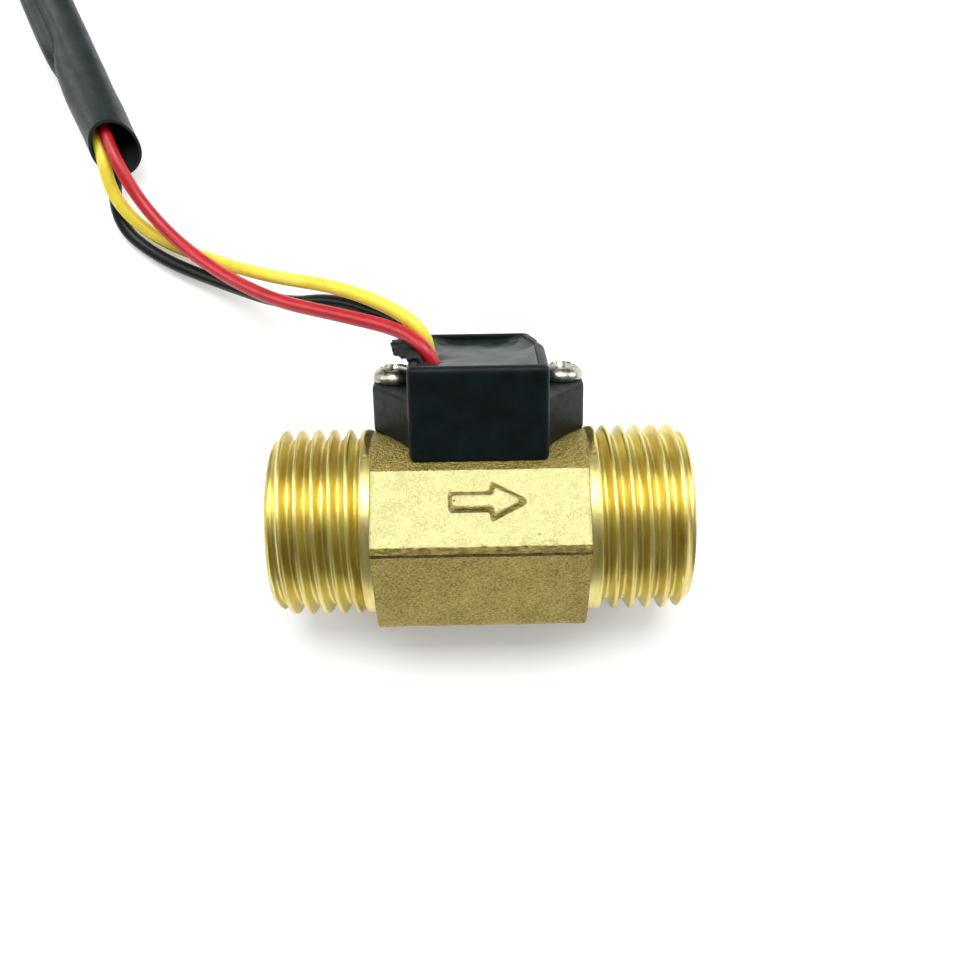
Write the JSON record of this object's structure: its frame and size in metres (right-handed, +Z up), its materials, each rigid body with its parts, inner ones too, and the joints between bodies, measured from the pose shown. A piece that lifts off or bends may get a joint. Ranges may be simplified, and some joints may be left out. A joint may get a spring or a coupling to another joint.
{
  "type": "water flow sensor",
  "caption": "In-line water flow sensor: forged brass hexagon body threaded at both ends, turbine inside, black potted sensor housing with a three-wire lead.",
  "frame": {"origin": "On the table, on the rear lower hexagon face that the sensor rests on, below the middle of the bore.", "axes": "+X along the bore with the flow, from the inlet to the outlet. +Z up from the table. The sensor housing leans over towards +Y."},
  "size_m": [0.0857, 0.1551, 0.0244],
  "materials": {
    "brass": "forged on the hexagon, turned on the necks and threads",
    "housing_plastic": "moulded satin black",
    "resin": "glossy dark resin",
    "plated_steel": "nickel plated",
    "board": "solder mask",
    "element": "moulded",
    "ceramic": "fired ceramic",
    "solder": "tinned",
    "insert_plastic": "moulded acetal",
    "magnet": "sintered",
    "stainless": "ground",
    "red_insulation": "satin insulation",
    "yellow_insulation": "satin insulation",
    "black_insulation": "satin insulation",
    "sleeve_plastic": "soft vinyl",
    "tie_plastic": "moulded nylon",
    "connector_plastic": "moulded nylon"
  },
  "bodies": {
    "body": {"brass_body": "brass", "sensor_housing": "housing_plastic", "potting_resin": "resin", "screw_left": "plated_steel", "screw_right": "plated_steel", "circuit_board": "board", "hall_sensor": "element", "chip_capacitor": "ceramic", "chip_resistor": "ceramic", "solder_joints": "solder", "flow_guide": "insert_plastic", "rotor_shaft": "stainless", "rear_support": "insert_plastic", "retaining_ring": "stainless", "wire_red": "red_insulation", "wire_yellow": "yellow_insulation", "wire_black": "black_insulation", "lead_sleeve": "sleeve_plastic", "lead_coil": "sleeve_plastic", "cable_tie": "tie_plastic", "tail_red": "red_insulation", "tail_yellow": "yellow_insulation", "tail_black": "black_insulation", "connector_housing": "connector_plastic", "contact_1": "solder", "contact_2": "solder", "contact_3": "solder"},
    "rotor": {"turbine_rotor": "insert_plastic", "rotor_magnet": "magnet"}
  },
  "joints": [
    {"name": "rotor_spin", "type": "hinge", "parent": "body", "child": "rotor", "pos_m": [0, 0, 0.0106], "axis": [1, 0, 0], "continuous": true}
  ]
}
